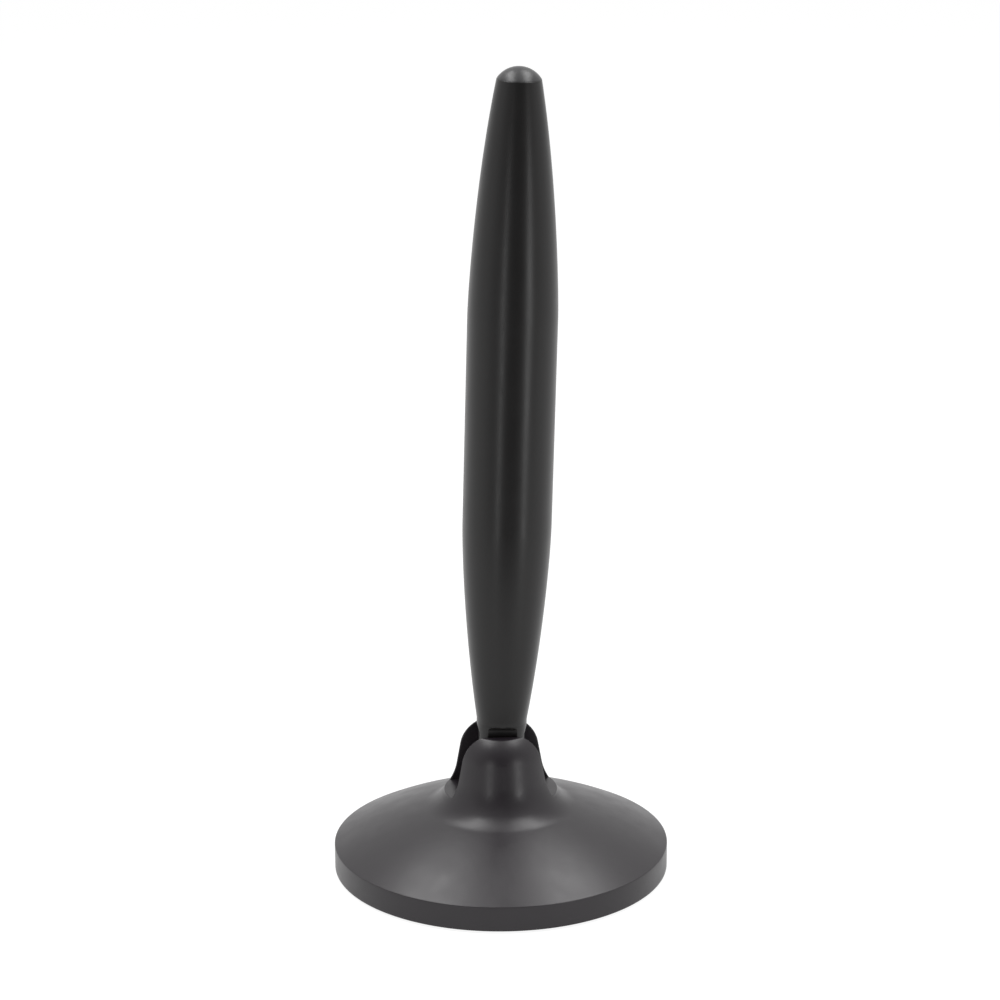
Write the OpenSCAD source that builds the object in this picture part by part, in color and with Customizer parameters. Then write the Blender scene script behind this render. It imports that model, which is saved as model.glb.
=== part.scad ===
// Tabletop TV antenna: a weighted round base with a forked hub, and a spindle mast
// that folds down to either side on a friction hinge. Millimetres, +Z up, the table is z = 0,
// the front of the antenna faces -Y and the cord leaves the base at the back.

/* [Base] */
// Diameter of the base
base_d = 85; // [78:0.5:96]
// Height of the sharp edge between rim and dome
rim_top = 6.9; // [6.6:0.1:9]
// Gap between the table and the lower edge of the rim
rim_lift = 0.4; // [0.2:0.1:0.6]
// Wall of the moulded base cover
cover_wall = 2; // [1.6:0.1:2.4]
// Break of the edge between rim and dome
edge_break = 0.2; // [0.1:0.05:0.4]
// Radius of the dome's gently curved section
dome_r = 131; // [120:1:200]
// Slope of the dome where it meets the rim
dome_slope = 28; // [24:0.5:30]

/* [Hub] */
// Diameter of the hub at its waist
hub_d = 25.2; // [24.4:0.2:28]
// Height of the hub's waist, where the flare begins
waist_z = 27.3; // [26:0.1:28.4]
// Height of the ear tops
hub_top = 37.6; // [36:0.2:42]
// Radius of the rounded shoulder on the ears
shoulder_r = 8; // [6:0.5:9]
// Radius of the long hollow flare below the waist
flare_r = 19; // [16:0.5:24]
// Radius of the fillet between flare and dome
foot_fillet = 4; // [2:0.5:6]

/* [Hinge] */
// Height of the hinge axis
pivot_z = 28; // [27:0.1:29]
// Thickness of the mast's tongue between its two flats
tongue_t = 10.4; // [9.6:0.1:10.8]
// Width of the tongue across the hinge
tongue_w = 11.2; // [10.4:0.1:12]
// Free height between the tongue's round end and the slot floor
floor_gap = 2.9; // [2:0.1:3.4]
// Thickness of each friction washer
washer_t = 1.05; // [0.8:0.05:1.2]
// Outer diameter of each friction washer
washer_d = 9.6; // [8:0.2:10]
// Running gap between a washer and the tongue
washer_gap = 0.05; // [0.03:0.01:0.08]
// Diameter of the two pivots
pivot_d = 4; // [3.4:0.1:4.4]
// Radial running clearance of the pivots in the tongue
pivot_gap = 0.05; // [0.02:0.01:0.08]
// Depth of the front pivot pin in its ear
pin_seat = 4.2; // [3:0.1:4.4]
// Diameter of the pivot screw's head
pivot_head_d = 7; // [6.4:0.1:7.4]
// Height of the pivot screw's head
pivot_head_h = 1.8; // [1.4:0.1:2]
// Thickness of the plug over the pivot screw, at its centre
plug_t = 1.2; // [1:0.1:1.6]

/* [Mast] */
// Lean of the mast from upright, towards +X
mast_lean = 1.85; // [0:0.05:4]
// Length from the hinge axis to the tip's edge
mast_len = 174.2; // [168:0.2:190]
// Diameter of the straight middle
mast_d = 22.2; // [21:0.2:24]
// Diameter at the neck, just above the ears
neck_d = 12.7; // [12.4:0.1:13]
// Diameter at the tip's edge
tip_d = 10.9; // [10:0.1:12]
// Height of the domed tip
tip_h = 2.2; // [1.6:0.1:3]
// Distance from the hinge axis to the neck
neck_at = 12; // [11.9:0.1:13]
// Distance from the hinge axis to the lower end of the straight middle
low_shoulder_at = 64; // [58:0.5:70]
// Length of the upper taper
top_taper = 58.2; // [52:0.2:64]
// Wall of the mast shells
shell_wall = 1.8; // [1.5:0.1:2]
// Distance from the hinge axis to the top of the tongue's flats
flat_top = 11.4; // [11:0.1:11.6]

/* [Inside the base] */
// Thickness of the bottom plate
plate_t = 1.8; // [1.6:0.1:2.2]
// Diameter of the rubber feet
foot_d = 10; // [8:0.5:12]
// Depth of a foot in the bottom plate
foot_sunk = 0.6; // [0.4:0.1:0.8]
// Distance of the feet from the centre
foot_ring = 33; // [30:0.5:34]
// Thickness of the steel ballast
ballast_t = 3.5; // [2.5:0.1:3.8]
// Outer diameter of the ballast
ballast_d = 68; // [62:1:70]
// Diameter of the ballast's open middle
ballast_bore = 32; // [30:1:36]
// Distance of the base screws from the centre
screw_ring = 27; // [25:0.5:29]
// Diameter of the inner lead
lead_d = 2.8; // [2.2:0.1:3]
// Diameter of the cord outlet in the rim
outlet_d = 3.8; // [3.4:0.1:4]

/* [Inside the mast] */
// Thickness of the circuit boards
board_t = 1; // [0.8:0.1:1.6]
// Width of the antenna board
board_w = 14; // [12:0.5:14.5]
// Distance from the hinge axis to the antenna board's lower end
board_low = 32; // [30:0.5:36]
// Distance from the hinge axis to the antenna board's upper end
board_high = 160; // [150:0.5:164]
// Thickness of the copper elements
copper_t = 0.2; // [0.1:0.05:0.3]

/* [Hidden] */

round_fn = 96;
small_fn = 32;
eps = 0.02;
seat_gap = 0.05;
wide = 200;

base_r = base_d / 2;
hub_r = hub_d / 2;
mast_r = mast_d / 2;
neck_r = neck_d / 2;
tip_r = tip_d / 2;
knuckle_r = tongue_w / 2;
pivot_r = pivot_d / 2;
lead_r = lead_d / 2;

dome_c = [base_r - edge_break - dome_r * sin(dome_slope), rim_top - dome_r * cos(dome_slope)];
flare_c = [hub_r + flare_r, waist_z];
fillet_c = meet(dome_c, dome_r + foot_fillet, flare_c, flare_r - foot_fillet);
shoulder_c = [hub_r - shoulder_r, hub_top - shoulder_r];

slot_half = tongue_t / 2 + washer_gap + washer_t;
slot_floor = pivot_z - knuckle_r - floor_gap;
lead_slot = lead_d + 0.8;

plate_low = rim_lift + 0.2;
plate_top = plate_low + plate_t;
plate_r = base_r - cover_wall - seat_gap;
plate_ledge = 0.8;
ballast_low = plate_top;
ballast_top = ballast_low + ballast_t;
ballast_notch = 19;
outlet_z = plate_top + outlet_d / 2 + 0.1;

post_r = 3.2;
screw_r = 1.3;
screw_head_r = 2.5;
screw_head_h = 0.8;
screw_len = 6.5;
small_screw_r = 0.9;
small_head_r = 1.7;
small_head_h = 1;
small_screw_len = 3;

feed_w = 16;
feed_l = 14;
feed_post_x = 6;
feed_post_h = 2;
feed_low = plate_top + feed_post_h;
feed_top = feed_low + board_t;
clamp_y = 25.5;
clamp_x = 6;
clamp_w = 16.5;
clamp_depth = 5;
clamp_t = 1.4;
clamp_hump = 3.2;
cord_room_r = 1.6;
small_post_r = 2.1;

top_shoulder_at = mast_len - top_taper;
core_from = neck_at + 2;
lap_t = shell_wall / 2;
lap_h = 1;
lap_gap = 0.06;
rib_t = 1.2;
board_y = -lead_r - seat_gap - board_t / 2;
board_back = board_y + board_t / 2;
rib_stations = [44, 72, 112, 138];
rib_window = 9.6;
feed_gap_at = 98;
core_w = 7;
core_l = 6;
core_t = 4;
wire_r = 0.4;

// Point where two circles meet, the one to the left of the line from c0 to c1
function meet(c0, r0, c1, r1) =
    let (v = c1 - c0, d = norm(v), a = (r0 * r0 - r1 * r1 + d * d) / (2 * d), h = sqrt(r0 * r0 - a * a))
    c0 + v * a / d + [-v[1], v[0]] * h / d;

// The list without its first point, for a stretch that starts where the last one ended
function rest(points) = [for (i = [1:len(points) - 1]) points[i]];

function heading(from, to) = atan2(to[1] - from[1], to[0] - from[0]);

function arc(c, r, a0, a1, n) = [for (i = [0:n]) c + r * [cos(a0 + (a1 - a0) * i / n), sin(a0 + (a1 - a0) * i / n)]];

function bezier(p, n) = [for (i = [0:n]) let (t = i / n, u = 1 - t)
    u * u * u * p[0] + 3 * u * u * t * p[1] + 3 * u * t * t * p[2] + t * t * t * p[3]];

function dome_height(c_r, x) = dome_c[1] + sqrt(c_r * c_r - (x - dome_c[0]) * (x - dome_c[0]));

// Outer section of base and hub, from the rim's lower edge up to the hub's axis
dome_end = heading(dome_c, fillet_c);
fillet_end = heading(flare_c, fillet_c) + 360;
base_section = concat(
    [[0, rim_lift], [base_r - edge_break, rim_lift], [base_r, rim_lift + edge_break], [base_r, rim_top - edge_break]],
    arc(dome_c, dome_r, 90 - dome_slope, dome_end, 16),
    rest(arc(fillet_c, foot_fillet, dome_end + 180, fillet_end, 6)),
    rest(arc(flare_c, flare_r, fillet_end, 180, 8)),
    arc(shoulder_c, shoulder_r, 0, 90, 12),
    [[0, hub_top]]
);

// Outer section of the mast, distance along the axis from the hinge: neck, taper, middle, taper
mast_outline = concat(
    [[neck_r, -knuckle_r - eps]],
    bezier([[neck_r, neck_at], [neck_r + 0.16 * 20, neck_at + 20], [mast_r, low_shoulder_at - 10],
        [mast_r, low_shoulder_at]], 12),
    bezier([[mast_r, top_shoulder_at], [mast_r, top_shoulder_at + 5], [tip_r + 0.18 * 25, mast_len - 25],
        [tip_r, mast_len]], 14)
);

// Section of the mast set in from its outer face by t, above the solid tongue
function mast_inset(t, from, to) = [for (p = mast_outline) if (p[1] > from && p[1] <= to) [p[0] - t, p[1]]];

module base_cover() {
    color("#2c2b2d") difference() {
        rotate_extrude($fn = round_fn) polygon(base_section);
        base_hollow();
        hinge_slot();
        ear_bores();
        translate([0, 0, slot_floor - cover_wall - eps]) cylinder(r = lead_slot / 2, h = cover_wall + 2 * eps, $fn = small_fn);
        cord_outlet();
    }
}

module base_hollow() {
    inner_r = dome_r - cover_wall;
    ledge_r = plate_r + seat_gap - plate_ledge;
    roof = slot_floor - cover_wall;
    difference() {
        rotate_extrude($fn = round_fn) polygon(concat(
            [[0, rim_lift - 1], [plate_r + seat_gap, rim_lift - 1], [plate_r + seat_gap, plate_top], [ledge_r, plate_top]],
            [for (i = [0:10]) let (x = ledge_r * (1 - i / 10)) [x, min(roof, dome_height(inner_r, x))]]
        ));
        for (k = [0:3]) at_base_screw(k) screw_post();
        for (a = [-90, 0, 60, 120, 180]) rotate([0, 0, a]) hold_down_rib();
    }
}

module screw_post() {
    difference() {
        translate([0, 0, plate_top]) cylinder(r = post_r, h = pivot_z - plate_top, $fn = small_fn);
        translate([0, 0, plate_top - eps]) cylinder(r = screw_r + seat_gap, h = screw_len, $fn = small_fn);
    }
}

module hold_down_rib() {
    translate([ballast_bore / 2 + 3, -rib_t / 2, ballast_top + seat_gap]) cube([12, rib_t, pivot_z]);
}

module hinge_slot() {
    translate([-base_r, -slot_half, slot_floor]) cube([base_d, 2 * slot_half, hub_top]);
}

// Blind seat for the front pin, and the stepped hole of the rear pivot screw and its plug
module ear_bores() {
    translate([0, -slot_half + eps, pivot_z]) rotate([90, 0, 0]) cylinder(r = pivot_r, h = pin_seat + eps, $fn = small_fn);
    translate([0, slot_half - eps, pivot_z]) rotate([-90, 0, 0]) cylinder(r = pivot_r, h = hub_r, $fn = small_fn);
    translate([0, head_seat, pivot_z]) rotate([-90, 0, 0]) cylinder(r = pivot_head_d / 2 + seat_gap, h = hub_r, $fn = small_fn);
}

head_seat = hub_r - plug_t - pivot_head_h;

module cord_outlet() {
    translate([0, base_r - 4, outlet_z]) rotate([-90, 0, 0]) cylinder(d = outlet_d, h = 8, $fn = small_fn);
}

module at_base_screw(k) {
    rotate([0, 0, 45 + 90 * k]) translate([screw_ring, 0, 0]) children();
}

module base_plate() {
    color("#29292b") difference() {
        union() {
            translate([0, 0, plate_low]) cylinder(r = plate_r, h = plate_t, $fn = round_fn);
            for (s = [-1, 1]) translate([s * feed_post_x, 0, plate_low]) cylinder(r = small_post_r, h = plate_t + feed_post_h, $fn = small_fn);
            for (s = [-1, 1]) translate([s * clamp_x, clamp_y, plate_low]) cylinder(r = small_post_r, h = outlet_z - plate_low, $fn = small_fn);
        }
        for (k = [0:3]) at_base_screw(k) {
            translate([0, 0, plate_low - eps]) cylinder(r = screw_head_r + 0.2, h = screw_head_h + eps, $fn = small_fn);
            translate([0, 0, plate_low]) cylinder(r = screw_r + 0.2, h = plate_t + eps, $fn = small_fn);
        }
        for (k = [0:3]) at_foot(k) translate([0, 0, plate_low - eps]) cylinder(r = foot_d / 2 + seat_gap, h = foot_sunk + eps, $fn = small_fn);
        for (s = [-1, 1]) translate([s * feed_post_x, 0, feed_low - small_screw_len + board_t]) cylinder(r = small_screw_r + seat_gap, h = 9, $fn = small_fn);
        for (s = [-1, 1]) translate([s * clamp_x, clamp_y, outlet_z - small_screw_len + clamp_t]) cylinder(r = small_screw_r + seat_gap, h = 9, $fn = small_fn);
    }
}

// C-shaped steel ring with holes for the screw posts and a gap for the cord
module ballast_ring() {
    color("#8d8f92") difference() {
        translate([0, 0, ballast_low]) cylinder(d = ballast_d, h = ballast_t, $fn = round_fn);
        translate([0, 0, ballast_low - 1]) cylinder(d = ballast_bore, h = ballast_t + 2, $fn = round_fn);
        translate([-ballast_notch / 2, 0, ballast_low - 1]) cube([ballast_notch, ballast_d, ballast_t + 2]);
        for (k = [0:3]) at_base_screw(k) translate([0, 0, ballast_low - 1]) cylinder(r = post_r + 0.2, h = ballast_t + 2, $fn = small_fn);
    }
}

module at_foot(k) {
    rotate([0, 0, -90 + 90 * k]) translate([foot_ring, 0, 0]) children();
}

module foot(k) {
    color("#1b1b1c") at_foot(k) rotate_extrude($fn = small_fn) polygon([[0, 0], [foot_d / 2 - 0.3, 0], [foot_d / 2, 0.3],
        [foot_d / 2, plate_low + foot_sunk], [0, plate_low + foot_sunk]]);
}

module base_screw(k) {
    color("#b9bbbd") at_base_screw(k) difference() {
        union() {
            translate([0, 0, plate_low]) cylinder(r = screw_head_r, h = screw_head_h, $fn = small_fn);
            translate([0, 0, plate_low]) cylinder(r = screw_r, h = plate_t + screw_len - 1, $fn = small_fn);
        }
        cross_recess(plate_low, 2.6, 0.5, 0.5);
    }
}

module cross_recess(z, length, width, depth) {
    for (a = [0, 90]) rotate([0, 0, a]) translate([-length / 2, -width / 2, z - 1]) cube([length, width, depth + 1]);
}

module small_screw(z) {
    difference() {
        union() {
            translate([0, 0, z]) cylinder(r = small_head_r, h = small_head_h, $fn = small_fn);
            translate([0, 0, z - small_screw_len + 0.2]) cylinder(r = small_screw_r, h = small_screw_len, $fn = small_fn);
        }
        translate([0, 0, 2 * z + small_head_h]) mirror([0, 0, 1]) cross_recess(z, 2.2, 0.4, 0.5);
    }
}

// Small board that joins the lead from the mast to the cord
module feed_board() {
    color("#2f6b45") difference() {
        translate([-feed_w / 2, -feed_l / 2, feed_low]) cube([feed_w, feed_l, board_t]);
        for (s = [-1, 1]) translate([s * feed_post_x, 0, feed_low - 1]) cylinder(r = small_screw_r + 0.15, h = board_t + 2, $fn = small_fn);
    }
}

module feed_board_screws() {
    color("#b9bbbd") for (s = [-1, 1]) translate([s * feed_post_x, 0, 0]) small_screw(feed_top);
}

// Saddle that holds the cord down on the bottom plate
module cord_clamp() {
    color("#29292b") difference() {
        union() {
            translate([-clamp_w / 2, clamp_y - clamp_depth / 2, outlet_z]) cube([clamp_w, clamp_depth, clamp_t]);
            translate([0, clamp_y - clamp_depth / 2, outlet_z]) rotate([-90, 0, 0]) cylinder(r = clamp_hump, h = clamp_depth, $fn = small_fn);
        }
        translate([-clamp_w, clamp_y - clamp_depth, outlet_z - 2 * clamp_hump]) cube([2 * clamp_w, 2 * clamp_depth, 2 * clamp_hump]);
        translate([0, clamp_y - clamp_depth, outlet_z]) rotate([-90, 0, 0]) cylinder(r = cord_room_r, h = 2 * clamp_depth, $fn = small_fn);
        for (s = [-1, 1]) translate([s * clamp_x, clamp_y, outlet_z - 1]) cylinder(r = small_screw_r + 0.15, h = clamp_t + 2, $fn = small_fn);
    }
}

module cord_clamp_screws() {
    color("#b9bbbd") for (s = [-1, 1]) translate([s * clamp_x, clamp_y, 0]) small_screw(outlet_z + clamp_t);
}

// Round lead along straight stretches, with a ball at each bend
module lead_run(points, first_ball) {
    for (i = [1:len(points) - 1]) {
        v = points[i] - points[i - 1];
        l = norm(v);
        translate(points[i - 1]) rotate([0, acos(v[2] / l), atan2(v[1], v[0])]) cylinder(r = lead_r, h = l, $fn = small_fn);
    }
    for (i = [first_ball:1:len(points) - 2]) translate(points[i]) sphere(r = lead_r, $fn = small_fn);
}

// Lead inside the base, up to the middle of the hinge, where it bends when the mast folds
module base_lead() {
    lead_z = feed_top + lead_r + seat_gap;
    color("#3a3a3c") lead_run([[0, 0, pivot_z], [0, 0, lead_z + 4], [0, 2.5, lead_z], [0, 6, lead_z]], 0);
}

module front_pivot_pin() {
    length = slot_half + pin_seat - lead_slot / 2 - 0.4;
    color("#c2c4c6") translate([0, -slot_half - pin_seat, pivot_z]) rotate([-90, 0, 0]) cylinder(r = pivot_r, h = length, $fn = small_fn);
}

// Screw held in the rear ear, whose smooth nose is the rear pivot
module rear_pivot_screw() {
    nose = lead_slot / 2 + 0.4;
    color("#c2c4c6") difference() {
        union() {
            translate([0, nose, pivot_z]) rotate([-90, 0, 0]) cylinder(r = pivot_r, h = head_seat - nose + 0.5, $fn = small_fn);
            translate([0, head_seat, pivot_z]) rotate([-90, 0, 0]) cylinder(d = pivot_head_d, h = pivot_head_h, $fn = small_fn);
        }
        translate([0, 0, pivot_z]) rotate([90, 0, 0]) cross_recess(-head_seat - pivot_head_h, 3.6, 0.8, 0.9);
    }
}

// Plug that closes the screw's hole, flush with the round back of the hub
module pivot_plug() {
    color("#2c2b2d") intersection() {
        translate([0, head_seat + pivot_head_h, pivot_z]) rotate([-90, 0, 0]) cylinder(d = pivot_head_d, h = hub_r, $fn = small_fn);
        rotate_extrude($fn = round_fn) polygon(base_section);
    }
}

module friction_washer(side) {
    color("#d9d7cf") translate([0, side * (slot_half - washer_t / 2), pivot_z]) rotate([90, 0, 0]) difference() {
        cylinder(d = washer_d, h = washer_t, center = true, $fn = small_fn * 2);
        cylinder(r = pivot_r + 0.1, h = 2 * washer_t, center = true, $fn = small_fn);
    }
}

// Puts a piece that is drawn upright about the hinge axis in its place on the leaning mast
module on_mast() {
    translate([0, 0, pivot_z]) rotate([0, mast_lean, 0]) children();
}

module mast_body() {
    difference() {
        intersection() {
            rotate_extrude($fn = round_fn) polygon(concat([[0, -knuckle_r - eps]], mast_outline, [[0, mast_len]]));
            tongue_outline();
        }
        for (s = [0, 1]) mirror([0, s, 0]) tongue_flat();
        rotate_extrude($fn = round_fn) polygon(concat([[0, core_from]], [[neck_r - shell_wall, core_from]],
            mast_inset(shell_wall, core_from, mast_len), [[tip_r - shell_wall, mast_len + 1], [0, mast_len + 1]]));
        lead_passage();
        rotate([90, 0, 0]) cylinder(r = pivot_r + pivot_gap, h = 2 * tongue_t, center = true, $fn = small_fn);
    }
}

// Side outline of the tongue, round about the hinge axis and running out into the neck
module tongue_outline() {
    run_out = flat_top - 2.6;
    rotate([90, 0, 0]) linear_extrude(height = wide, center = true) union() {
        circle(r = knuckle_r, $fn = 64);
        polygon([[-knuckle_r, 0], [knuckle_r, 0], [knuckle_r, run_out], [knuckle_r + 1, flat_top], [mast_d, flat_top],
            [mast_d, mast_len + 1], [-mast_d, mast_len + 1], [-mast_d, flat_top], [-knuckle_r - 1, flat_top], [-knuckle_r, run_out]]);
    }
}

// One flat of the tongue, with a round run-out at its top
module tongue_flat() {
    run_out = neck_r - tongue_t / 2;
    translate([-mast_d, tongue_t / 2, -2 * knuckle_r]) cube([2 * mast_d, mast_d, 2 * knuckle_r + flat_top - run_out]);
    translate([0, tongue_t / 2 + run_out, flat_top - run_out]) rotate([0, 90, 0]) cylinder(r = run_out, h = mast_d, center = true, $fn = small_fn);
}

// Room between the tongue's cheeks: the lead bends in it when the mast folds either way
module lead_passage() {
    translate([-mast_d, -lead_slot / 2, -2 * knuckle_r]) cube([2 * mast_d, lead_slot, 2 * knuckle_r + lead_slot / 2]);
    cylinder(r = lead_slot / 2, h = core_from + 1, $fn = small_fn);
}

// Ribs that grip the antenna board's edges from one side
module board_ribs(side) {
    for (z = rib_stations) difference() {
        intersection() {
            rotate_extrude($fn = round_fn) polygon(concat([[0, core_from]], mast_inset(shell_wall - 0.4, core_from, mast_len), [[0, mast_len]]));
            translate([-mast_d, board_y, z]) mirror([0, side > 0 ? 0 : 1, 0])
                translate([0, board_t / 2 + seat_gap, 0]) cube([2 * mast_d, mast_d, rib_t]);
        }
        translate([-rib_window / 2, -mast_d, z - 1]) cube([rib_window, 2 * mast_d, rib_t + 2]);
    }
}

// Ring of the inner half of the wall, on both sides of the joint between the shells
module lap_band(t_in, t_out, h) {
    intersection() {
        rotate_extrude($fn = round_fn) polygon(concat(mast_inset(t_out, core_from + 6, mast_len - 4),
            [for (i = [1:len(mast_inset(t_in, core_from + 6, mast_len - 4))])
                mast_inset(t_in, core_from + 6, mast_len - 4)[len(mast_inset(t_in, core_from + 6, mast_len - 4)) - i]]));
        translate([-mast_d, -eps, 0]) cube([2 * mast_d, h + eps, mast_len]);
    }
}

module mast_front_shell() {
    color("#262628") on_mast() union() {
        intersection() {
            mast_body();
            translate([-mast_d, -mast_d, -mast_d]) cube([2 * mast_d, mast_d, 2 * mast_len]);
        }
        board_ribs(-1);
        lap_band(shell_wall, lap_t + lap_gap, lap_h);
    }
}

module mast_rear_shell() {
    color("#262628") on_mast() difference() {
        union() {
            intersection() {
                mast_body();
                translate([-mast_d, 0, -mast_d]) cube([2 * mast_d, mast_d, 2 * mast_len]);
            }
            board_ribs(1);
        }
        lap_band(shell_wall + 1, lap_t, lap_h + lap_gap);
    }
}

module tip_cap() {
    cap_r = (tip_r * tip_r + tip_h * tip_h) / (2 * tip_h);
    plug_r = tip_r - shell_wall - seat_gap;
    edge = asin(tip_r / cap_r);
    color("#3a3a3c") on_mast() rotate_extrude($fn = round_fn) polygon(concat(
        [[0, mast_len - 4], [plug_r, mast_len - 4], [plug_r, mast_len]],
        arc([0, mast_len + tip_h - cap_r], cap_r, 90 - edge, 90, 8)
    ));
}

module antenna_board() {
    w = board_w / 2;
    color("#2f6b45") on_mast() translate([0, board_y, 0]) rotate([90, 0, 0]) linear_extrude(height = board_t, center = true) polygon([
        [-w * 0.55, board_low], [w * 0.55, board_low], [w, board_low + 16], [w, board_high - 28], [w / 2, board_high],
        [-w / 2, board_high], [-w, board_high - 28], [-w, board_low + 16]
    ]);
}

// Copper meander on the front of the board, folded into a strip between two heights
module meander(low, high) {
    strip_w = 9;
    line_w = 1.6;
    pitch = 4;
    turns = floor((high - low - line_w) / pitch);
    translate([0, board_y - board_t / 2, 0]) rotate([90, 0, 0]) linear_extrude(height = copper_t) difference() {
        translate([-strip_w / 2, low]) square([strip_w, turns * pitch + line_w]);
        for (i = [0:turns - 1]) translate([i % 2 == 0 ? line_w - strip_w / 2 : -strip_w / 2 - 1, low + line_w + i * pitch])
            square([strip_w - line_w + 1, pitch - line_w]);
    }
}

module upper_element() {
    color("#b87333") on_mast() meander(feed_gap_at + 2, board_high - 8);
}

module lower_element() {
    color("#b87333") on_mast() meander(board_low + 12, feed_gap_at - 2);
}

// Two-hole ferrite core of the transformer that feeds the elements
module balun_core() {
    color("#4a4a4d") on_mast() difference() {
        translate([-core_w / 2, board_back, feed_gap_at - core_l / 2]) cube([core_w, core_t, core_l]);
        for (s = [-1, 1]) translate([s * core_w / 4, board_back + core_t / 2, feed_gap_at - core_l])
            cylinder(r = wire_r + 0.3, h = 2 * core_l, $fn = small_fn);
    }
}

module balun_winding() {
    low = feed_gap_at - core_l / 2 - 0.8;
    high = feed_gap_at + core_l / 2 + 0.8;
    color("#c9803a") on_mast() for (s = [-1, 1]) translate([s * core_w / 4, board_back + core_t / 2, 0]) {
        translate([0, 0, low]) cylinder(r = wire_r, h = high - low, $fn = small_fn);
        for (z = [low, high]) translate([0, 0, z]) sphere(r = wire_r, $fn = small_fn);
        for (z = [low, high]) translate([0, 0, z]) rotate([90, 0, 0]) cylinder(r = wire_r, h = core_t / 2, $fn = small_fn);
    }
}

// Lead inside the mast, from the middle of the hinge to the transformer
module mast_lead() {
    low = lead_r + 0.2;
    color("#3a3a3c") on_mast() translate([0, 0, low]) cylinder(r = lead_r, h = feed_gap_at - core_l / 2 - 2 - low, $fn = small_fn);
}

base_cover();
base_plate();
ballast_ring();
foot(0);  // front_foot
foot(1);  // right_foot
foot(2);  // rear_foot
foot(3);  // left_foot
base_screw(0);  // base_screw_1
base_screw(1);  // base_screw_2
base_screw(2);  // base_screw_3
base_screw(3);  // base_screw_4
feed_board();
feed_board_screws();
cord_clamp();
cord_clamp_screws();
base_lead();
front_pivot_pin();
rear_pivot_screw();
pivot_plug();
friction_washer(-1);  // front_friction_washer
friction_washer(1);  // rear_friction_washer
mast_front_shell();
mast_rear_shell();
tip_cap();
antenna_board();
upper_element();
lower_element();
balun_core();
balun_winding();
mast_lead();
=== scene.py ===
import math
import bmesh
import bpy
import numpy as np
from mathutils import Matrix, Vector


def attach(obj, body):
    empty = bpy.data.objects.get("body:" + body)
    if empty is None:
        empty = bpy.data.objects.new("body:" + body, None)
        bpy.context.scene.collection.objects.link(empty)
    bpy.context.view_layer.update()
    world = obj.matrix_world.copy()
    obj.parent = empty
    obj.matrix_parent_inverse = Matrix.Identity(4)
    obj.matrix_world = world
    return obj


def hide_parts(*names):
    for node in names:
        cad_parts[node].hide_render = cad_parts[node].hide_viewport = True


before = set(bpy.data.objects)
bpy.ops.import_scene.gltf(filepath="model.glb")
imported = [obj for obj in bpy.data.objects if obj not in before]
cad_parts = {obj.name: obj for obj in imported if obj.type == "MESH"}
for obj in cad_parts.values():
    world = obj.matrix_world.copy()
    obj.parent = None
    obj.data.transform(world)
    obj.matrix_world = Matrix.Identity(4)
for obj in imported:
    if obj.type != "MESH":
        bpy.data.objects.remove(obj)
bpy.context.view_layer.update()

# Camera: the photograph's viewpoint. It stands 0.8 m from the middle of the base, a little to the left of the
# front, looks slightly down on the antenna, and aims at the mast below its middle. The picture is square.
camera_distance = 0.8
camera_height_angle = math.radians(23.61)
camera_side_angle = math.radians(-3)
camera_tilt = math.radians(-0.25)
aim = Vector((0.00015, 0, 0.09746))

camera_data = bpy.data.cameras.new("camera")
camera_data.sensor_width = 36
camera_data.lens = 111.35
camera = bpy.data.objects.new("camera", camera_data)
camera.location = camera_distance * Vector((
    math.sin(camera_side_angle) * math.cos(camera_height_angle),
    -math.cos(camera_side_angle) * math.cos(camera_height_angle),
    math.sin(camera_height_angle)))
looking = (aim - camera.location).to_track_quat("-Z", "Y").to_matrix()
camera.rotation_euler = (looking @ Matrix.Rotation(camera_tilt, 3, "Z")).to_euler()
bpy.context.scene.collection.objects.link(camera)
bpy.context.scene.camera = camera
bpy.context.scene.view_settings.view_transform = "Standard"


# Studio: a white table under soft light from all round, with a low strip lamp on either side in front and a wide
# soft box overhead on either side. The table ends a little in front of the antenna, shows white and keeps its
# soft shadow. The side of the room behind the camera is dark in reflections, as a room behind a camera is.
def linear(code):
    """Linear RGBA of an sRGB hex colour: ((c + 0.055) / 1.055) ^ 2.4 above 0.04, c / 12.92 below."""
    channels = np.array([int(code[i:i + 2], 16) / 255 for i in (1, 3, 5)])
    return (*np.where(channels > 0.04045, ((channels + 0.055) / 1.055) ** 2.4, channels / 12.92).tolist(), 1)


def add(tree, kind, inputs=None, **settings):
    """Adds one shader node with its settings; an input takes a value or another node's output."""
    new = tree.nodes.new("ShaderNode" + kind)
    for key, value in settings.items():
        setattr(new, key, value)
    for key, value in (inputs or {}).items():
        if isinstance(value, bpy.types.NodeSocket):
            tree.links.new(value, new.inputs[key])
        else:
            new.inputs[key].default_value = value
    return new


def seen_or_reflected(tree):
    """1 for what the camera, a reflection or a clear body shows, 0 for light that falls on things."""
    path = add(tree, "LightPath")
    either = add(tree, "Math", {0: path.outputs["Is Camera Ray"], 1: path.outputs["Is Glossy Ray"]},
                 operation="MAXIMUM")
    return add(tree, "Math", {0: either.outputs[0], 1: path.outputs["Is Transmission Ray"]},
               operation="MAXIMUM").outputs[0]


world = bpy.data.worlds.new("white_studio")
world.use_nodes = True
bpy.context.scene.world = world
tree = world.node_tree
tree.nodes.clear()
room = add(tree, "Background", {"Color": linear("#ffffff"), "Strength": 0.46})
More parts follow.
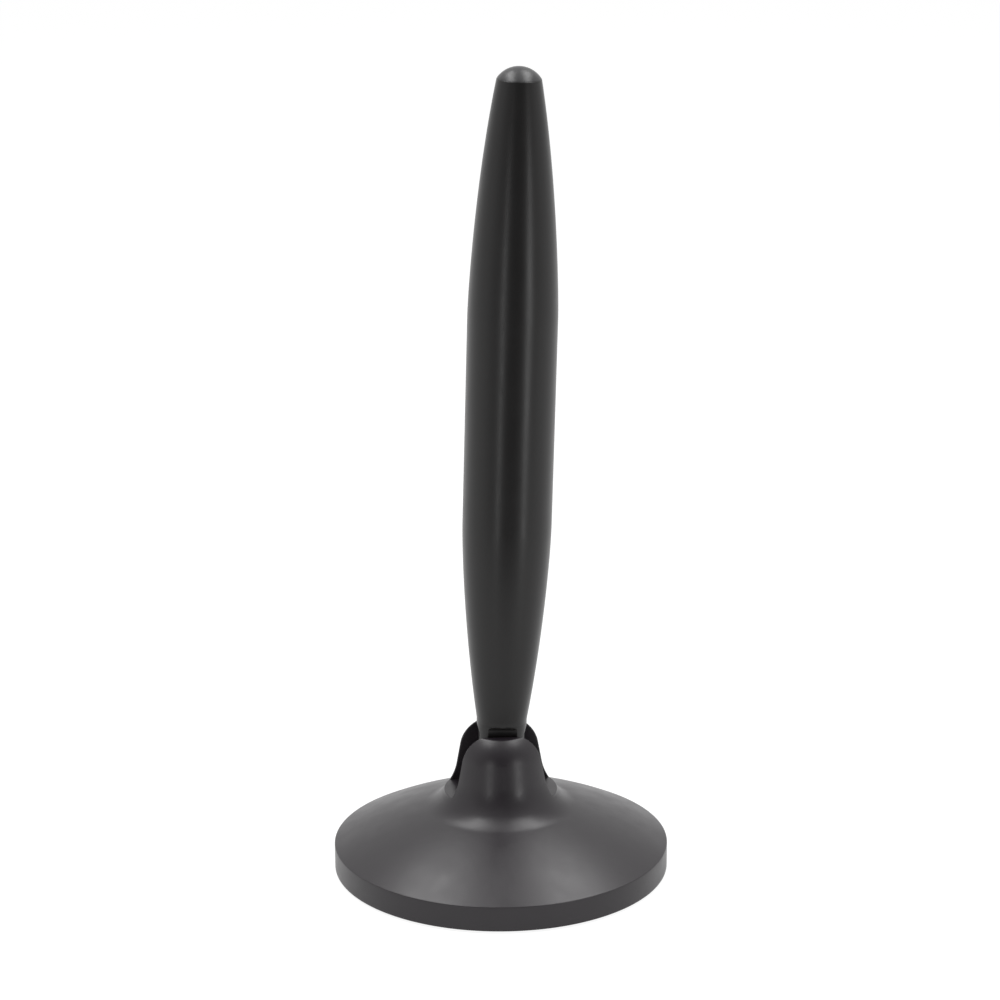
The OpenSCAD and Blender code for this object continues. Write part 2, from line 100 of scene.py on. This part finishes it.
# in reflections the room is white at the sides and beyond the antenna, and 0.15 of that straight behind the camera
bearing = add(tree, "SeparateXYZ", {0: add(tree, "TexCoord").outputs["Generated"]})
lit = add(tree, "MapRange", {"Value": bearing.outputs["Y"], "From Min": -0.95, "From Max": -0.3, "To Min": 0.15,
                             "To Max": 1})
white = add(tree, "Math", {0: lit.outputs[0], 1: add(tree, "LightPath").outputs["Is Camera Ray"]},
            operation="MAXIMUM")
backdrop = add(tree, "Background", {"Color": linear("#ffffff"), "Strength": white.outputs[0]})
shown = add(tree, "MixShader", {0: seen_or_reflected(tree), 1: room.outputs[0], 2: backdrop.outputs[0]})
add(tree, "OutputWorld", {"Surface": shown.outputs[0]})

# the table lies 0.1 mm lower than the feet, so that no face of theirs is in its plane
table_front, table_reach, table_top = -0.18, 4, -1e-4
table_mesh = bpy.data.meshes.new("table")
table_mesh.from_pydata([(-table_reach, table_front, table_top), (table_reach, table_front, table_top),
                        (table_reach, table_reach, table_top), (-table_reach, table_reach, table_top)],
                       [], [(0, 1, 2, 3)])
table = bpy.data.objects.new("table", table_mesh)
bpy.context.scene.collection.objects.link(table)
table_finish = bpy.data.materials.new("white_table")
table_finish.use_nodes = True
tree = table_finish.node_tree
tree.nodes.clear()
matt = add(tree, "BsdfDiffuse", {"Color": linear("#fafafa")})
glow = add(tree, "Emission", {"Color": linear("#ffffff"), "Strength": 1.12})
lifted = add(tree, "MixShader", {0: 0.8, 1: matt.outputs[0], 2: glow.outputs[0]})
shown = add(tree, "MixShader", {0: seen_or_reflected(tree), 1: matt.outputs[0], 2: lifted.outputs[0]})
add(tree, "OutputMaterial", {"Surface": shown.outputs[0]})
table_mesh.materials.append(table_finish)


def soft_box(name, side_angle, height_angle, distance, width, height, power):
    """Area lamp at a bearing from the front and a height angle, facing the mast's middle."""
    side_angle, height_angle = math.radians(side_angle), math.radians(height_angle)
    lamp = bpy.data.lights.new(name, "AREA")
    lamp.shape = "RECTANGLE"
    lamp.size, lamp.size_y, lamp.energy = width, height, power
    box = bpy.data.objects.new(name, lamp)
    middle = Vector((0, 0, 0.1))
    box.location = middle + distance * Vector((
        math.sin(side_angle) * math.cos(height_angle),
        -math.cos(side_angle) * math.cos(height_angle),
        math.sin(height_angle)))
    box.rotation_euler = (middle - box.location).to_track_quat("-Z", "Y").to_euler()
    bpy.context.scene.collection.objects.link(box)


# bearing and height in degrees, distance, width and height in metres, power in watts
soft_box("left_strip", -28, -6, 0.8, 0.05, 0.36, 0.55)
soft_box("right_strip", 38, -6, 0.8, 0.07, 0.36, 0.95)
soft_box("left_overhead_box", -100, 66, 0.9, 0.85, 0.28, 4.8)
soft_box("right_overhead_box", 100, 65, 0.9, 0.85, 0.28, 4.6)


# Base cover: one injection moulding in black ABS with a fine satin texture. Rim, dome, fillet, hollow flare and the
# hub with its drafted sides, round shoulders and flat top are one turned section. The hinge slot is cored out,
# which leaves two ears, and its edges are lightly broken.
def arc(centre, radius, start, end, count):
    """Points of a circle's arc: centre + radius (cos a, sin a), a from start to end in degrees."""
    a = np.radians(np.linspace(start, end, count))
    return np.asarray(centre) + radius * np.column_stack((np.cos(a), np.sin(a)))


def heading(start, end):
    """Direction from one point to another, in degrees from the first axis."""
    return math.degrees(math.atan2(end[1] - start[1], end[0] - start[0]))


def patch(points, skip=None):
    """Quads between the neighbouring points of a grid of rows and columns. Cells marked in skip stay open, and
    points that no cell uses are left out."""
    rows, columns = points.shape[:2]
    index = np.arange(rows * columns).reshape(rows, columns)
    cells = np.stack((index[:-1, :-1], index[1:, :-1], index[1:, 1:], index[:-1, 1:]), -1)
    used, cells = np.unique(cells if skip is None else cells[~skip], return_inverse=True)
    return points.reshape(-1, 3)[used], cells.reshape(-1, 4)


def closed(rows):
    """The grid with its first column repeated after the last, so that it goes all the way round."""
    return np.concatenate((rows, rows[:, :1]), 1)


def moulded_piece(name, body, patches, material, nodes, crease=32):
    """One closed mesh of patches in millimetres, joined where their border points meet, which rides on the body
    and stands in for the CAD nodes. Edges sharper than crease degrees stay sharp."""
    counts = np.cumsum([0] + [len(points) for points, cells in patches])
    points = np.concatenate([points for points, cells in patches]) / 1000
    cells = np.concatenate([cells + start for (_, cells), start in zip(patches, counts)])
    mesh = bpy.data.meshes.new(name)
    mesh.from_pydata(points.tolist(), [], cells.tolist())
    joined = bmesh.new()
    joined.from_mesh(mesh)
    bmesh.ops.remove_doubles(joined, verts=joined.verts, dist=2e-6)
    bmesh.ops.dissolve_degenerate(joined, edges=joined.edges, dist=1e-7)
    bmesh.ops.recalc_face_normals(joined, faces=joined.faces)
    joined.to_mesh(mesh)
    joined.free()
    mesh.shade_smooth()
    mesh.set_sharp_from_angle(angle=math.radians(crease))
    mesh.materials.append(material)
    piece = bpy.data.objects.new(name, mesh)
    bpy.context.scene.collection.objects.link(piece)
    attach(piece, body)
    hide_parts(*nodes)


def finish(name, dark, light, roughness, spread, grain_mm, grain_depth, metal=0, index=1.5):
    """Material of one stuff: a cloudy mix of two near tones, gloss that varies in patches a few millimetres wide,
    and a fine grain whose size and depth are in millimetres. The real grain is finer than the picture can show,
    so it is drawn coarser than it is."""
    cloud_mm, patch_mm = 14, 5
    material = bpy.data.materials.new(name)
    material.use_nodes = True
    tree = material.node_tree
    tree.nodes.clear()
    place = add(tree, "TexCoord").outputs["Object"]
    cloud = add(tree, "TexNoise", {"Vector": place, "Scale": 1000 / cloud_mm, "Detail": 3})
    # sockets 6 and 7 of a Mix node are its two colours
    tint = add(tree, "Mix", {0: cloud.outputs[0], 6: linear(dark), 7: linear(light)}, data_type="RGBA")
    patches = add(tree, "TexNoise", {"Vector": place, "Scale": 1000 / patch_mm, "Detail": 4})
    gloss = add(tree, "MapRange", {"Value": patches.outputs[0], "From Min": 0.3, "From Max": 0.7,
                                   "To Min": roughness - spread, "To Max": roughness + spread})
    grain = add(tree, "TexNoise", {"Vector": place, "Scale": 1000 / grain_mm, "Detail": 2})
    bump = add(tree, "Bump", {"Height": grain.outputs[0], "Distance": grain_depth / 1000, "Strength": 1})
    stuff = add(tree, "BsdfPrincipled", {"Base Color": tint.outputs[2], "Roughness": gloss.outputs[0],
                                         "Metallic": metal, "IOR": index, "Normal": bump.outputs[0]})
    add(tree, "OutputMaterial", {"Surface": stuff.outputs[0]})
    return material


# sizes in millimetres, heights above the table, slopes and drafts in degrees
rim_radius, rim_height, rim_lift = 42.5, 6.9, 0.4
edge_break = 0.2
dome_radius, dome_slope, dome_wall = 131, 28, 2
fillet_radius, flare_radius = 8, 14
side_start, side_end = 25.5, 30.8
side_radius, side_draft = 12.35, 8.75
shoulder_radius, crest_radius = 9.8, 1.5
ear_top, ear_crown = 37, 0.06
pivot_height = 28
slot_half, slot_floor, slot_edge = 6.3, 20.9, 0.25
ear_edge = slot_half + slot_edge
lead_hole = 1.8
roof, plate_top = 17.5, 2.4
seat_wall, plate_wall = 39.65, 40.45


def drafted(z):
    """Radius of the drafted side at height z: side radius + (pivot height - z) tan(draft)."""
    return side_radius + (pivot_height - z) * math.tan(math.radians(side_draft))


def meet(first, first_radius, second, second_radius):
    """Where two circles cross, left of the way from first to second: (r1^2 - r2^2 + d^2) / 2d along that way, and
    the root of r1^2 less its square to the side."""
    way = second - first
    apart = np.hypot(*way)
    along = (first_radius ** 2 - second_radius ** 2 + apart ** 2) / (2 * apart)
    aside = math.sqrt(first_radius ** 2 - along ** 2)
    return first + (along * way + aside * np.array((-way[1], way[0]))) / apart


# centres of the section's arcs, in radius and height: each arc runs on from its neighbours without a kink
dome_centre = arc((rim_radius - edge_break, rim_height), -dome_radius, 90 - dome_slope, 90, 2)[0]
flare_centre = arc((drafted(side_start), side_start), flare_radius, side_draft, 90, 2)[0]
fillet_centre = meet(dome_centre, dome_radius + fillet_radius, flare_centre, flare_radius - fillet_radius)
shoulder_centre = arc((drafted(side_end), side_end), -shoulder_radius, side_draft, 90, 2)[0]
crest_height = ear_top - crest_radius
crest_centre = np.array((shoulder_centre[0] + math.sqrt(
    (shoulder_radius - crest_radius) ** 2 - (crest_height - shoulder_centre[1]) ** 2), crest_height))
dome_end = heading(dome_centre, fillet_centre)
fillet_end = heading(flare_centre, fillet_centre) + 360
flare_at_slot = 180 + math.degrees(math.asin((flare_centre[1] - slot_floor + slot_edge) / flare_radius))
crest_start = heading(shoulder_centre, crest_centre)


def hub_radius(z):
    """Hub's radius at height z: the hollow flare below, the drafted side, and the round shoulder above it."""
    flare = flare_centre[0] - np.sqrt(flare_radius ** 2 - np.minimum(z - flare_centre[1], 0) ** 2)
    shoulder = shoulder_centre[0] + np.sqrt(shoulder_radius ** 2 - np.maximum(z - shoulder_centre[1], 0) ** 2)
    return np.where(z < side_start, flare, np.where(z < side_end, drafted(z), shoulder))


def turned(section, angles):
    """Surface of revolution: a section (r, z) carried round the upright axis, (r cos t, r sin t, z)."""
    r, z = section[:, 0, None], section[:, 1, None]
    return np.stack((r * np.cos(angles), r * np.sin(angles), z + 0 * angles), -1)


# below the slot: rim with its edges broken, dome, fillet, and the flare up to the slot's floor
outer_section = np.concatenate((
    arc((rim_radius - edge_break, rim_lift + edge_break), edge_break, -90, 0, 5)[:-1],
    np.column_stack((np.full(11, rim_radius), np.linspace(rim_lift + edge_break, rim_height - edge_break, 11))),
    [(rim_radius - 0.015, rim_height - 0.125), (rim_radius - 0.07, rim_height - 0.065)],
    arc(dome_centre, dome_radius, 90 - dome_slope, dome_end, 64),
    arc(fillet_centre, fillet_radius, dome_end + 180, fillet_end, 24)[1:],
    arc(flare_centre, flare_radius, fillet_end, flare_at_slot, 4)[1:]))
slot_radius = outer_section[-1, 0]

# columns of the grids: even steps of y across the slot's floor, even turns round each ear, then the other half
floor_steps, ear_steps = 40, 88
ear_middle = ear_steps // 2
across = np.linspace(-1, 1, floor_steps + 1)
over = np.linspace(-1, 1, ear_steps + 1)
ear_turn = math.acos(ear_edge / slot_radius)
half_turn = np.concatenate((np.arcsin(across * ear_edge / slot_radius), math.pi / 2 + over[1:] * ear_turn))[:-1]
turn = np.concatenate((half_turn, half_turn + math.pi))


def hole_in(grid, rows, columns, surface, centre, rings):
    """Patch from the border of a window in the grid to a round hole about centre (x, z), by straight shares of
    the way; rings are (radius, depth below the surface) or (radius, None, y) for a ring at a fixed y."""
    (a, b), (p, q) = rows, columns
    border = np.concatenate((grid[a, p:q], grid[a:b, q], grid[b, q:p:-1], grid[b:a:-1, p]))
    facing = np.arctan2(border[:, 2] - centre[1], border[:, 0] - centre[0])
    outwards = np.column_stack((np.cos(facing), np.sin(facing)))
    first = np.asarray(centre) + rings[0][0] * outwards
    result = [border]
    for share in np.linspace(0, 1, 8)[1:]:
        x, z = ((1 - share) * border[:, (0, 2)] + share * first).T
        result.append(np.column_stack((x, surface(x, z), z)))
    for ring in rings[1:]:
        x, z = (np.asarray(centre) + ring[0] * outwards).T
        y = surface(x, z) - ring[1] if ring[1] is not None else np.full(len(x), ring[2])
        result.append(np.column_stack((x, y, z)))
    skip = np.zeros((grid.shape[0] - 1, grid.shape[1] - 1), bool)
    skip[a:b, p:q] = True
    return patch(closed(np.array(result))), skip


def rim_surface(x, z):
    """y on the back of the rim: the root of rim radius^2 - x^2."""
    return np.sqrt(rim_radius ** 2 - x ** 2)


def hub_surface(x, z):
    """y on the back of the hub: the root of hub radius(z)^2 - x^2."""
    return np.sqrt(hub_radius(z) ** 2 - x ** 2)


# the outlet for the cord is a round hole low in the back of the rim, with its edge broken
outlet_radius, outlet_height, outlet_end = 1.9, 4.4, 39.9
lower = closed(turned(outer_section, turn))
back = floor_steps + ear_middle
outlet, lower_skip = hole_in(lower, (5, 13), (back - 3, back + 3), rim_surface, (0, outlet_height), [
    (outlet_radius + 0.15, 0), (outlet_radius + 0.05, 0.06), (outlet_radius, 0.2),
    (outlet_radius, None, outlet_end), (0, None, outlet_end)])

# the ears above the slot's floor: flare, drafted side, shoulder, crest, and a top that is flat but for its crown
side_heights = np.linspace(side_start, side_end, 14)
inwards = np.linspace(1, 0, 13)[1:] ** 2
ear_section = np.concatenate((
    arc(flare_centre, flare_radius, flare_at_slot, 180 + side_draft, 20),
    np.column_stack((drafted(side_heights), side_heights))[1:],
    arc(shoulder_centre, shoulder_radius, side_draft, crest_start, 20)[1:],
    arc(crest_centre, crest_radius, crest_start, 90, 9)[1:],
    np.column_stack((ear_edge + (crest_centre[0] - ear_edge) * inwards,
                     ear_top + ear_crown * (1 - np.sqrt(inwards))))))
ear_radii, ear_heights = ear_section.T
ear_turns = np.arccos(np.minimum(ear_edge / ear_radii, 1))
angles = math.pi / 2 + over * ear_turns[:, None]
ear = np.stack((ear_radii[:, None] * np.cos(angles), ear_radii[:, None] * np.sin(angles),
                ear_heights[:, None] + 0 * angles), -1)

# rounded edge between the ear's outside and the slot: a quarter circle square to the edge line
side_x = ear_radii * np.sin(ear_turns)
rise = np.gradient(np.column_stack((side_x, ear_heights)), axis=0)
rise /= np.hypot(rise[:, 0], rise[:, 1])[:, None]
inward = np.column_stack((-rise[:, 1], rise[:, 0]))
inward[-1] = (0, -1)
quarter = np.linspace(0, math.pi / 2, 6)
sunk = slot_edge * (1 - np.cos(quarter))
nearer = slot_edge * np.sin(quarter)
edge = np.stack((side_x[:, None] + inward[:, :1] * sunk,
                 ear_edge - nearer + 0 * side_x[:, None],
                 ear_heights[:, None] + inward[:, 1:] * sunk), -1)
edge[-1, :, 0] = 0
edge[0] = np.column_stack((np.sqrt(slot_radius ** 2 - edge[0, :, 1] ** 2) - sunk, edge[0, :, 1],
                           slot_floor - slot_edge + nearer))
face = edge[:, -1, None] * np.stack((-over, 1 + 0 * over, 1 + 0 * over), -1)

# rounded edge where the slot's floor runs out into the flare, and the floor round the hole for the lead
reach = across[:, None] * (ear_edge - nearer)
sill = np.stack((np.sqrt(slot_radius ** 2 - reach ** 2) - sunk, reach,
                 slot_floor - slot_edge + nearer + 0 * reach), -1)
half_border = np.concatenate((sill[:, -1], face[0, 1:]))[:-1]
border = np.concatenate((half_border, half_border * (-1, -1, 1)))
hole = np.column_stack((lead_hole * np.cos(turn), lead_hole * np.sin(turn), np.full(len(turn), slot_floor)))
floor_rows = border + np.linspace(0, 1, 10)[:, None, None] * (hole - border)

# the inside, down from the hole: roof, inner wall of the dome, ledge and wall that the bottom plate sits in
inner_dome = arc(dome_centre, dome_radius - dome_wall, 62.5, 78, 60)
inner_dome = inner_dome[(inner_dome[:, 0] < seat_wall) & (inner_dome[:, 1] < roof)]
hollow = turned(np.concatenate((
    [(lead_hole, slot_floor), (lead_hole, roof), (inner_dome[-1, 0], roof)], inner_dome[::-1],
    [(seat_wall, inner_dome[0, 1]), (seat_wall, plate_top), (plate_wall, plate_top), (plate_wall, rim_lift),
     (rim_radius - edge_break, rim_lift)])), turn)

# the seat of the plug is a round hole in the back of the rear ear
seat_radius, seat_end = 3.55, 9.6
seat_rows = (int(np.searchsorted(ear_heights, 23.5)), int(np.searchsorted(ear_heights, 32.6)))
seat_columns = (ear_middle - 16, ear_middle + 16)
plug_seat, ear_skip = hole_in(ear, seat_rows, seat_columns, hub_surface, (0, pivot_height), [
    (seat_radius + 0.12, 0), (seat_radius + 0.04, 0.04), (seat_radius, 0.14),
    (seat_radius, None, seat_end), (0, None, seat_end)])

# black ABS, a slightly warm black, from a mould with a fine spark-eroded texture: a satin surface whose light
# patches are soft and wide
abs_satin = finish("abs_satin_moulded", "#181318", "#1d181d", 0.36, 0.03, 0.35, 0.012, index=1.49)
half_turned = np.array((-1, -1, 1))
mirrored = np.array((-1, 1, 1))
cover_patches = [patch(lower, lower_skip), outlet, patch(ear, ear_skip), plug_seat, patch(ear * half_turned),
                 patch(closed(floor_rows)), patch(closed(hollow))]
for flip in (1, half_turned):
    cover_patches += [patch(edge * flip), patch(edge * mirrored * flip), patch(face * flip), patch(sill * flip)]
moulded_piece("cover", "base", cover_patches, abs_satin, ["base_cover"])


# Mast: two moulded half shells of smooth black ABS, joined along the sides with a fine line. The spindle swells
# from the neck to a straight middle and tapers to the tip; the foot is a flat-sided tongue with a round end. All
# distances are measured along the mast from the hinge.
lean = math.radians(1.7)
neck_radius, middle_radius, tip_radius = 6.35, 11.1, 5.45
middle_start, middle_end, tip_at = 64, 116, 174.2
# the tongue's sides are straight up to widens_at, and from there stand out by 1 mm for every 2.6 mm of height
tongue_radius, widens_at, widening = 5.6, 8.8, 2.6
flat_end, step_radius = 11.4, 1.15
flat_start = flat_end - step_radius
lead_half = 1.8
joint_line = 0.07
least_width = 5e-4


def on_mast(points):
    """Leans points drawn upright about the hinge axis: turns them by the lean and lifts them to the pivot."""
    x, y, d = np.moveaxis(points, -1, 0)
    return np.stack((x * math.cos(lean) + d * math.sin(lean), y,
                     pivot_height + d * math.cos(lean) - x * math.sin(lean)), -1)


def bezier(points, count):
    """Cubic curve (1-t)^3 p0 + 3(1-t)^2 t p1 + 3(1-t) t^2 p2 + t^3 p3."""
    t = np.linspace(0, 1, count)[:, None]
    p = np.asarray(points, float)
    return (1 - t) ** 3 * p[0] + 3 * (1 - t) ** 2 * t * p[1] + 3 * (1 - t) * t ** 2 * p[2] + t ** 3 * p[3]


# outline of the spindle as radius and distance, with the edge at the tip lightly broken
spindle = np.concatenate((
    bezier([(neck_radius, 12), (9.55, 32), (middle_radius, 54), (middle_radius, middle_start)], 70),
    np.column_stack((np.full(22, middle_radius), np.linspace(middle_start, middle_end, 24)[1:-1])),
    bezier([(middle_radius, middle_end), (middle_radius, 121), (9.95, 149.2), (tip_radius, tip_at)], 80)))
spindle = np.concatenate((spindle[:-1], [(tip_radius + 0.02, tip_at - 0.1), (tip_radius - 0.08, tip_at)]))

# for each row of the mast: radius, half width of the tongue from side to side, and how far its flats stand out;
# the last row of the round end keeps a least width, so that the two shells don't meet in one line there
end_turn = np.radians(np.linspace(90, 0, 22))
distance = np.concatenate((-tongue_radius * np.sin(end_turn), [lead_half, lead_half, 4, 6.5, widens_at, 9.5],
                           np.linspace(flat_start, flat_end, 14), spindle[:, 1]))
girth = np.concatenate((np.full(len(distance) - len(spindle), neck_radius), spindle[:, 0]))
side = np.where(distance < 0, np.sqrt(np.maximum(tongue_radius ** 2 - distance ** 2, least_width ** 2)),
                np.maximum(tongue_radius + (distance - widens_at) / widening, tongue_radius))
side = np.where(distance > flat_end, girth, np.minimum(side, girth))
run_out = np.clip(distance - flat_start, 0, step_radius)
flat = np.where(distance > flat_end, girth, neck_radius - np.sqrt(step_radius ** 2 - run_out ** 2))

# the lead leaves between the shells, through a notch that ends in a step
inner = np.where(distance < lead_half, lead_half, 0)
inner[np.flatnonzero(distance == lead_half)[0]] = lead_half


def shell(sign):
    """Half of the mast: rows along the axis, and in each row a closed line from the joint round the outside,
    at x = min(side, sqrt(girth^2 - y^2)) beside the joint, on the round of radius girth, and along the flat
    y = flat, then straight back along the joint."""
    corner_y = np.minimum(np.sqrt(girth ** 2 - side ** 2), flat)
    corner_x = np.minimum(np.sqrt(girth ** 2 - flat ** 2), side)
    low = inner + joint_line
    high = np.maximum(corner_y, low)
    step = np.clip(lead_half + joint_line, low, high)
    beside = np.column_stack((low, step, (step + high) / 2, high))
    x = np.minimum(side[:, None], np.sqrt(girth[:, None] ** 2 - beside ** 2))
    start = np.arctan2(high, x[:, -1])
    end = np.arctan2(flat, corner_x)
    a = start[:, None] + (end - start)[:, None] * np.linspace(0, 1, 42)[1:]
    far = np.minimum(girth[:, None], np.minimum(side[:, None] / np.maximum(np.cos(a), 1e-9),
                                                flat[:, None] / np.sin(a)))
    along_flat = corner_x[:, None] * np.linspace(1, 0, 9)[1:]
    x = np.concatenate((np.maximum(side - joint_line, 0)[:, None], x, far * np.cos(a), along_flat), 1)
    y = np.concatenate((inner[:, None], beside, far * np.sin(a), flat[:, None] + 0 * along_flat), 1)
    x = np.concatenate((x, -x[:, -2::-1]), 1)
    y = np.concatenate((y, y[:, -2::-1]), 1)
    rows = np.stack((x, sign * y, distance[:, None] + 0 * x), -1)
    rows = np.concatenate((rows, np.broadcast_to((0, 0, tip_at), (1, rows.shape[1], 3))))
    return patch(on_mast(closed(rows)))


# black ABS from a smoother mould, whose finest texture still takes off part of the gloss
abs_smooth = finish("abs_smooth_moulded", "#171616", "#1b1a1a", 0.32, 0.02, 1.2, 0.004, index=1.38)
moulded_piece("front_shell", "mast", [shell(-1)], abs_smooth, ["mast_front_shell"])
moulded_piece("rear_shell", "mast", [shell(1)], abs_smooth, ["mast_rear_shell"])


# Tip: a low domed cap of the same ABS, moulded on its own and pushed into the top of the two shells. Its face is
# duller, so it takes the light from above as one soft grey patch.
tip_rise = 3
cap_radius = (tip_radius ** 2 + tip_rise ** 2) / (2 * tip_rise)
cap_section = np.concatenate((
    [(0, tip_at), (tip_radius - 0.15, tip_at), (tip_radius - 0.08, tip_at + 0.03),
     (tip_radius - 0.065, tip_at + 0.1)],
    arc((0, tip_at + tip_rise - cap_radius), cap_radius, 33.3, 90, 40)))
cap_section[-1, 0] = 0
cap_turn = np.linspace(0, 2 * math.pi, 97)[:-1]
abs_dull = finish("abs_dull_moulded", "#222223", "#29282a", 0.36, 0.03, 0.35, 0.01)
moulded_piece("tip", "mast", [patch(on_mast(closed(turned(cap_section, cap_turn))))], abs_dull, ["tip_cap"])


# Plug: a small disc moulded in the cover's ABS and pressed into the rear ear over the pivot screw. Its face follows
# the round of the hub, and its edge is broken, which leaves a fine ring between the two.
plug_radius, plug_inner_end = 3.5, 11.4
plug_turn = np.linspace(0, 2 * math.pi, 65)[:-1]
plug_radii = np.concatenate((np.linspace(0, plug_radius - 0.12, 9), [plug_radius - 0.04, plug_radius]))
plug_drop = np.concatenate((np.zeros(9), [0.04, 0.14]))[:, None]
plug_x = plug_radii[:, None] * np.cos(plug_turn)
plug_z = pivot_height + plug_radii[:, None] * np.sin(plug_turn)
plug_face = np.stack((plug_x, hub_surface(plug_x, plug_z) - plug_drop, plug_z), -1)
plug_back = np.stack((plug_x[[-1, 0]], np.full((2, len(plug_turn)), plug_inner_end), plug_z[[-1, 0]]), -1)
moulded_piece("plug", "base", [patch(closed(np.concatenate((plug_face, plug_back))))], abs_satin, ["pivot_plug"])


# Bottom plate and cord clamp: the plate is moulded in ABS from a matt mould and screwed into the cover from below,
# the clamp is a nylon saddle. As all the pieces that follow, they are the CAD solids as they are.
def dress(material, *nodes):
    """The CAD nodes keep their shapes and show this material in every slot."""
    for node in nodes:
        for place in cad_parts[node].material_slots:
            place.material = material


dress(finish("abs_matt_moulded", "#1f1f20", "#262627", 0.5, 0.04, 0.3, 0.015), "base_plate")
dress(finish("black_nylon", "#222223", "#2a2a2b", 0.42, 0.04, 0.4, 0.01), "cord_clamp")


# Feet: four pads of black moulded rubber, glued into their seats in the bottom plate. The rubber is dull all over
# and bluish grey where the light strikes it.
dress(finish("black_rubber", "#18181a", "#202022", 0.8, 0.06, 0.25, 0.03),
      "front_foot", "right_foot", "rear_foot", "left_foot")


# Ballast: a ring cut from mild steel plate and pickled, which leaves an even dark grey with a low metal gloss. The
# plate holds it against ribs in the cover.
dress(finish("pickled_steel", "#5c5d5f", "#77787a", 0.46, 0.1, 0.5, 0.02, metal=1), "ballast_ring")


# Screws: steel, rolled and zinc-plated, with a cool light grey gloss. Four hold the plate, the small ones hold the
# feed board and the cord clamp.
dress(finish("zinc_plated_steel", "#a9abab", "#c3c4c1", 0.34, 0.07, 0.2, 0.006, metal=1),
      "base_screw_1", "base_screw_2", "base_screw_3", "base_screw_4", "feed_board_screws", "cord_clamp_screws")


# Hinge: a pin and a screw of ground, nickel-plated steel, with a warm bright gloss, and between ear and tongue on
# either side a friction washer punched from natural nylon, milky and half dull.
dress(finish("nickel_plated_steel", "#b4b2ab", "#c8c6bf", 0.24, 0.04, 0.15, 0.003, metal=1),
      "front_pivot_pin", "rear_pivot_screw")
dress(finish("natural_nylon", "#cfccc0", "#dcd9cf", 0.4, 0.04, 0.4, 0.008),
      "front_friction_washer", "rear_friction_washer")


# Boards: glass-fibre laminate under clear green lacquer, cut to shape. The long one stands in ribs of the two
# shells and carries the two elements, of bare rolled copper.
dress(finish("lacquered_laminate", "#25583a", "#2f6b45", 0.3, 0.05, 0.7, 0.02), "feed_board", "antenna_board")
dress(finish("rolled_copper", "#b26a35", "#c67c44", 0.3, 0.06, 0.3, 0.004, metal=1),
      "upper_element", "lower_element")


# Transformer and leads: a pressed and sintered ferrite core, dark and dull, wound with enamelled copper wire, and
# two inner leads in grey PVC, one from the feed board up to the hinge and one from there to the transformer.
dress(finish("ferrite", "#34353a", "#404146", 0.6, 0.06, 0.2, 0.02), "balun_core")
dress(finish("enamelled_copper_wire", "#8e3f1c", "#a4552a", 0.2, 0.03, 0.3, 0.002, metal=0.6), "balun_winding")
dress(finish("grey_pvc", "#36363a", "#3e3e42", 0.45, 0.05, 0.6, 0.008), "base_lead", "mast_lead")
